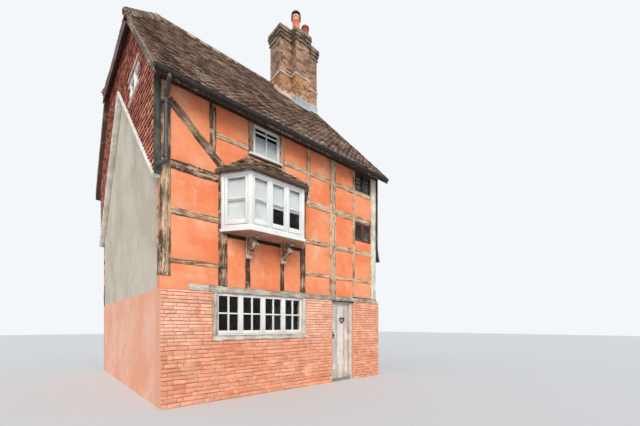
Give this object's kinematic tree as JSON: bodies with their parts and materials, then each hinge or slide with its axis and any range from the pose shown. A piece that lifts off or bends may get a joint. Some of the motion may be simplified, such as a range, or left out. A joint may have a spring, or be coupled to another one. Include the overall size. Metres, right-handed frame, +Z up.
{
  "type": "half timbered house",
  "caption": "Half timbered end house with a painted brick ground floor, limewashed panels, a canted oriel, a steep half-hipped tiled roof and a brick chimney.",
  "frame": {"origin": "middle of the frame's plan on the ground, at the underside of the ground floor", "axes": "+Z up, -Y to the street front, +X along the front to the free gable end"},
  "size_m": [6.6858, 7.857, 13.27],
  "materials": {
    "painted_brick": "matte",
    "limewash": "matte",
    "party_plaster": "matte",
    "oak": "matte",
    "weathered_oak": "matte",
    "floor_boards": "matte",
    "floor_stone": "matte",
    "roof_tile": "matte",
    "hung_tile": "matte",
    "chimney_brick": "matte",
    "lead": "matte",
    "terracotta": "matte",
    "black_iron": "satin",
    "white_paint": "satin",
    "brown_paint": "satin",
    "window_glass": "gloss",
    "door_paint": "matte"
  },
  "bodies": {
    "house": {"ground_floor": "floor_stone", "brick_front_left": "painted_brick", "brick_front_right": "painted_brick", "brick_left": "painted_brick", "brick_right": "painted_brick", "brick_rear": "painted_brick", "mortar_shoulder": "painted_brick", "front_beams": "weathered_oak", "front_posts": "oak", "front_rails": "oak", "front_brace": "oak", "front_panels": "limewash", "first_floor": "floor_boards", "second_floor": "floor_boards", "loft_floor": "floor_boards", "rear_posts": "oak", "rear_rails": "oak", "rear_panels": "limewash", "left_gable_wall": "party_plaster", "right_gable_wall": "party_plaster", "wall_plates": "oak", "tile_hanging": "hung_tile", "mortar_fillet": "party_plaster", "corner_board": "weathered_oak", "gable_boarding": "weathered_oak", "roof_front": "roof_tile", "roof_rear": "roof_tile", "roof_half_hip": "roof_tile", "ridge_tiles": "roof_tile", "hip_tiles": "roof_tile", "gutters": "black_iron", "downpipe": "black_iron", "chimney_breast": "chimney_brick", "chimney_stack": "chimney_brick", "chimney_crown": "chimney_brick", "chimney_lead": "lead", "chimney_pots": "terracotta", "chimney_cowl": "black_iron", "oriel_base": "white_paint", "oriel_frame": "white_paint", "oriel_roof": "roof_tile", "oriel_brackets": "weathered_oak", "ground_window_surround": "weathered_oak", "ground_window_frames": "white_paint", "eaves_window_frame": "white_paint", "small_window_frames": "brown_paint", "gable_window_frame": "white_paint", "window_glass": "window_glass", "door_frame": "weathered_oak", "threshold": "floor_stone", "door_pintles": "black_iron"},
    "door": {"door_leaf": "door_paint", "door_straps": "black_iron", "door_latch": "black_iron"}
  },
  "joints": [
    {"name": "door_hinge", "type": "hinge", "parent": "house", "child": "door", "pos_m": [1.9355, -3.2557, 1.1], "axis": [0, 0, -1], "range_deg": [0, 90]}
  ]
}
